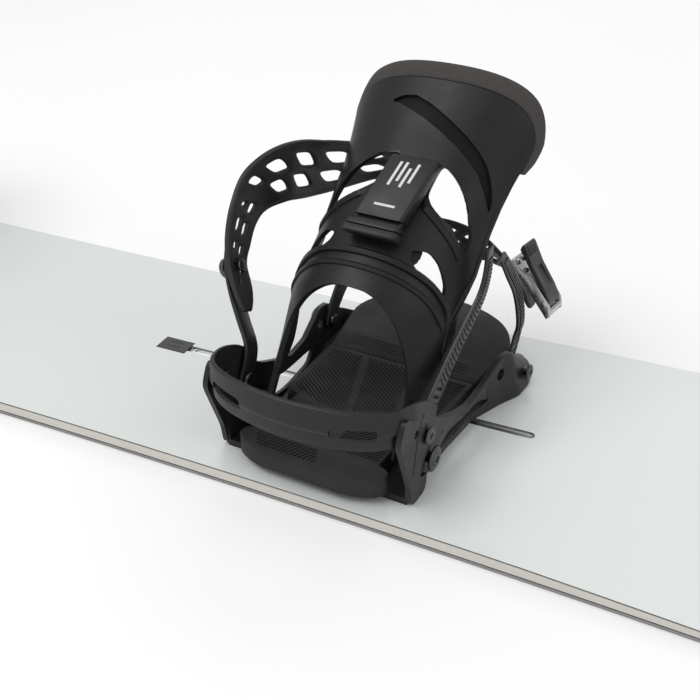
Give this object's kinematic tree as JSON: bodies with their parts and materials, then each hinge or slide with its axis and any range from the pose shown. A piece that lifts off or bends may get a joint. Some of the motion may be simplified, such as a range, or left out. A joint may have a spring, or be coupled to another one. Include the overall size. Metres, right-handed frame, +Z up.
{
  "type": "snowboard with bindings",
  "caption": "Twin-tip snowboard with a pair of strap bindings whose highbacks fold and whose straps, ladders and buckle levers swing.",
  "frame": {"origin": "centre of the board's base, on the plane it rests on", "axes": "+X along the board, +Y across it towards the toe edge, +Z up"},
  "size_m": [1.58, 0.2894, 0.2432],
  "materials": {
    "base": "polished black running base",
    "channel_left": "anodised",
    "channel_right": "anodised",
    "core": "cream sidewall and core",
    "left_ankle_buckle": "brushed plate",
    "left_ankle_knob": "black satin metal",
    "left_ankle_ladder": "satin black glass-filled nylon",
    "left_ankle_ladder_bolt": "black satin metal",
    "left_ankle_lever": "black satin metal",
    "left_ankle_strap": "satin black glass-filled nylon",
    "left_ankle_strap_bolt": "black satin metal",
    "left_ankle_tongue": "satin black glass-filled nylon",
    "left_baseplate": "satin black glass-filled nylon",
    "left_channel_bolt_a": "black satin metal",
    "left_channel_bolt_b": "black satin metal",
    "left_disc": "satin black glass-filled nylon",
    "left_heel_pad": "soft ribbed footbed",
    "left_highback": "satin black glass-filled nylon",
    "left_highback_foam": "speckled foam",
    "left_lean_block": "satin black glass-filled nylon",
    "left_lean_dial": "satin black glass-filled nylon",
    "left_pivot_bolt_a": "black satin metal",
    "left_pivot_bolt_b": "black satin metal",
    "left_toe_buckle": "brushed plate",
    "left_toe_ladder": "satin black glass-filled nylon",
    "left_toe_ladder_bolt": "black satin metal",
    "left_toe_lever": "black satin metal",
    "left_toe_pad": "soft ribbed footbed",
    "left_toe_strap": "satin black glass-filled nylon",
    "left_toe_strap_bolt": "black satin metal",
    "plug_left": "matte dark grey",
    "plug_right": "matte dark grey",
    "right_ankle_buckle": "brushed plate",
    "right_ankle_knob": "black satin metal",
    "right_ankle_ladder": "satin black glass-filled nylon",
    "right_ankle_ladder_bolt": "black satin metal",
    "right_ankle_lever": "black satin metal",
    "right_ankle_strap": "satin black glass-filled nylon",
    "right_ankle_strap_bolt": "black satin metal",
    "right_ankle_tongue": "satin black glass-filled nylon",
    "right_baseplate": "satin black glass-filled nylon",
    "right_channel_bolt_a": "black satin metal",
    "right_channel_bolt_b": "black satin metal",
    "right_disc": "satin black glass-filled nylon",
    "right_heel_pad": "soft ribbed footbed",
    "right_highback": "satin black glass-filled nylon",
    "right_highback_foam": "speckled foam",
    "right_lean_block": "satin black glass-filled nylon",
    "right_lean_dial": "satin black glass-filled nylon",
    "right_pivot_bolt_a": "black satin metal",
    "right_pivot_bolt_b": "black satin metal",
    "right_toe_buckle": "brushed plate",
    "right_toe_ladder": "satin black glass-filled nylon",
    "right_toe_ladder_bolt": "black satin metal",
    "right_toe_lever": "black satin metal",
    "right_toe_pad": "soft ribbed footbed",
    "right_toe_strap": "satin black glass-filled nylon",
    "right_toe_strap_bolt": "black satin metal",
    "steel_edge": "ground steel",
    "topsheet": "satin pale grey-green"
  },
  "bodies": {
    "deck": {"base": "base", "channel_left": "channel_left", "channel_right": "channel_right", "core": "core", "left_ankle_ladder_bolt": "left_ankle_ladder_bolt", "left_ankle_strap_bolt": "left_ankle_strap_bolt", "left_baseplate": "left_baseplate", "left_channel_bolt_a": "left_channel_bolt_a", "left_channel_bolt_b": "left_channel_bolt_b", "left_disc": "left_disc", "left_heel_pad": "left_heel_pad", "left_pivot_bolt_a": "left_pivot_bolt_a", "left_pivot_bolt_b": "left_pivot_bolt_b", "left_toe_ladder_bolt": "left_toe_ladder_bolt", "left_toe_pad": "left_toe_pad", "left_toe_strap_bolt": "left_toe_strap_bolt", "plug_left": "plug_left", "plug_right": "plug_right", "right_ankle_ladder_bolt": "right_ankle_ladder_bolt", "right_ankle_strap_bolt": "right_ankle_strap_bolt", "right_baseplate": "right_baseplate", "right_channel_bolt_a": "right_channel_bolt_a", "right_channel_bolt_b": "right_channel_bolt_b", "right_disc": "right_disc", "right_heel_pad": "right_heel_pad", "right_pivot_bolt_a": "right_pivot_bolt_a", "right_pivot_bolt_b": "right_pivot_bolt_b", "right_toe_ladder_bolt": "right_toe_ladder_bolt", "right_toe_pad": "right_toe_pad", "right_toe_strap_bolt": "right_toe_strap_bolt", "steel_edge": "steel_edge", "topsheet": "topsheet"},
    "right_highback_body": {"right_highback": "right_highback", "right_highback_foam": "right_highback_foam"},
    "right_lean_block_body": {"right_lean_block": "right_lean_block"},
    "right_lean_dial_body": {"right_lean_dial": "right_lean_dial"},
    "right_ankle_strap_body": {"right_ankle_strap": "right_ankle_strap", "right_ankle_tongue": "right_ankle_tongue", "right_ankle_knob": "right_ankle_knob", "right_ankle_buckle": "right_ankle_buckle"},
    "right_ankle_lever_body": {"right_ankle_lever": "right_ankle_lever"},
    "right_ankle_ladder_body": {"right_ankle_ladder": "right_ankle_ladder"},
    "right_toe_strap_body": {"right_toe_strap": "right_toe_strap", "right_toe_buckle": "right_toe_buckle"},
    "right_toe_lever_body": {"right_toe_lever": "right_toe_lever"},
    "right_toe_ladder_body": {"right_toe_ladder": "right_toe_ladder"},
    "left_highback_body": {"left_highback": "left_highback", "left_highback_foam": "left_highback_foam"},
    "left_lean_block_body": {"left_lean_block": "left_lean_block"},
    "left_lean_dial_body": {"left_lean_dial": "left_lean_dial"},
    "left_ankle_strap_body": {"left_ankle_strap": "left_ankle_strap", "left_ankle_tongue": "left_ankle_tongue", "left_ankle_knob": "left_ankle_knob", "left_ankle_buckle": "left_ankle_buckle"},
    "left_ankle_lever_body": {"left_ankle_lever": "left_ankle_lever"},
    "left_ankle_ladder_body": {"left_ankle_ladder": "left_ankle_ladder"},
    "left_toe_strap_body": {"left_toe_strap": "left_toe_strap", "left_toe_buckle": "left_toe_buckle"},
    "left_toe_lever_body": {"left_toe_lever": "left_toe_lever"},
    "left_toe_ladder_body": {"left_toe_ladder": "left_toe_ladder"}
  },
  "joints": [
    {"name": "right_highback_fold", "type": "hinge", "parent": "deck", "child": "right_highback_body", "pos_m": [0.28003, -0.07483, 0.0306], "axis": [0.9978, -0.0663, 0], "range_deg": [0, 38]},
    {"name": "right_ankle_strap_swing", "type": "hinge", "parent": "deck", "child": "right_ankle_strap_body", "pos_m": [0.27943, -0.08382, 0.0546], "axis": [0.9978, -0.0663, 0], "range_deg": [-16, 0]},
    {"name": "right_ankle_lever_flip", "type": "hinge", "parent": "right_ankle_strap_body", "child": "right_ankle_lever_body", "pos_m": [0.32998, 0.10868, 0.17462], "axis": [-0.1091, 0.5549, -0.8247], "range_deg": [0, 100]},
    {"name": "right_ankle_ladder_swing", "type": "hinge", "parent": "deck", "child": "right_ankle_ladder_body", "pos_m": [0.27943, -0.08382, 0.0546], "axis": [0.9978, -0.0663, 0], "range_deg": [-25, 25]},
    {"name": "right_toe_strap_swing", "type": "hinge", "parent": "deck", "child": "right_toe_strap_body", "pos_m": [0.28805, 0.0459, 0.0346], "axis": [0.9978, -0.0663, 0], "range_deg": [-35, 8]},
    {"name": "right_toe_lever_flip", "type": "hinge", "parent": "right_toe_strap_body", "child": "right_toe_lever_body", "pos_m": [0.38032, 0.09011, 0.07144], "axis": [0.1326, 0.9883, -0.0749], "range_deg": [0, 100]},
    {"name": "right_toe_ladder_swing", "type": "hinge", "parent": "deck", "child": "right_toe_ladder_body", "pos_m": [0.28937, 0.06585, 0.0226], "axis": [0.9978, -0.0663, 0], "range_deg": [-8, 7]},
    {"name": "right_lean_dial_turn", "type": "hinge", "parent": "right_highback_body", "child": "right_lean_dial_body", "pos_m": [0.30463, -0.01902, 0.1459], "axis": [-0.3738, 0.7601, -0.5316], "range_deg": [-90, 90]},
    {"name": "right_lean_block_slide", "type": "slide", "parent": "right_highback_body", "child": "right_lean_block_body", "axis": [0.0556, 0.8365, 0.5451], "range_m": [-0.004, 0.006]},
    {"name": "left_highback_fold", "type": "hinge", "parent": "deck", "child": "left_highback_body", "pos_m": [-0.28003, -0.07483, 0.0306], "axis": [0.9978, 0.0663, 0], "range_deg": [0, 38]},
    {"name": "left_ankle_strap_swing", "type": "hinge", "parent": "deck", "child": "left_ankle_strap_body", "pos_m": [-0.27943, -0.08382, 0.0546], "axis": [0.9978, 0.0663, 0], "range_deg": [-16, 0]},
    {"name": "left_ankle_lever_flip", "type": "hinge", "parent": "left_ankle_strap_body", "child": "left_ankle_lever_body", "pos_m": [-0.32998, 0.10868, 0.17462], "axis": [-0.1091, -0.5549, 0.8247], "range_deg": [0, 100]},
    {"name": "left_ankle_ladder_swing", "type": "hinge", "parent": "deck", "child": "left_ankle_ladder_body", "pos_m": [-0.27943, -0.08382, 0.0546], "axis": [0.9978, 0.0663, 0], "range_deg": [-25, 25]},
    {"name": "left_toe_strap_swing", "type": "hinge", "parent": "deck", "child": "left_toe_strap_body", "pos_m": [-0.28805, 0.0459, 0.0346], "axis": [0.9978, 0.0663, 0], "range_deg": [-35, 8]},
    {"name": "left_toe_lever_flip", "type": "hinge", "parent": "left_toe_strap_body", "child": "left_toe_lever_body", "pos_m": [-0.38032, 0.09011, 0.07144], "axis": [0.1326, -0.9883, 0.0749], "range_deg": [0, 100]},
    {"name": "left_toe_ladder_swing", "type": "hinge", "parent": "deck", "child": "left_toe_ladder_body", "pos_m": [-0.28937, 0.06585, 0.0226], "axis": [0.9978, 0.0663, 0], "range_deg": [-8, 7]},
    {"name": "left_lean_dial_turn", "type": "hinge", "parent": "left_highback_body", "child": "left_lean_dial_body", "pos_m": [-0.30463, -0.01902, 0.1459], "axis": [-0.3738, -0.7601, 0.5316], "range_deg": [-90, 90]},
    {"name": "left_lean_block_slide", "type": "slide", "parent": "left_highback_body", "child": "left_lean_block_body", "axis": [-0.0556, 0.8365, 0.5451], "range_m": [-0.004, 0.006]}
  ]
}
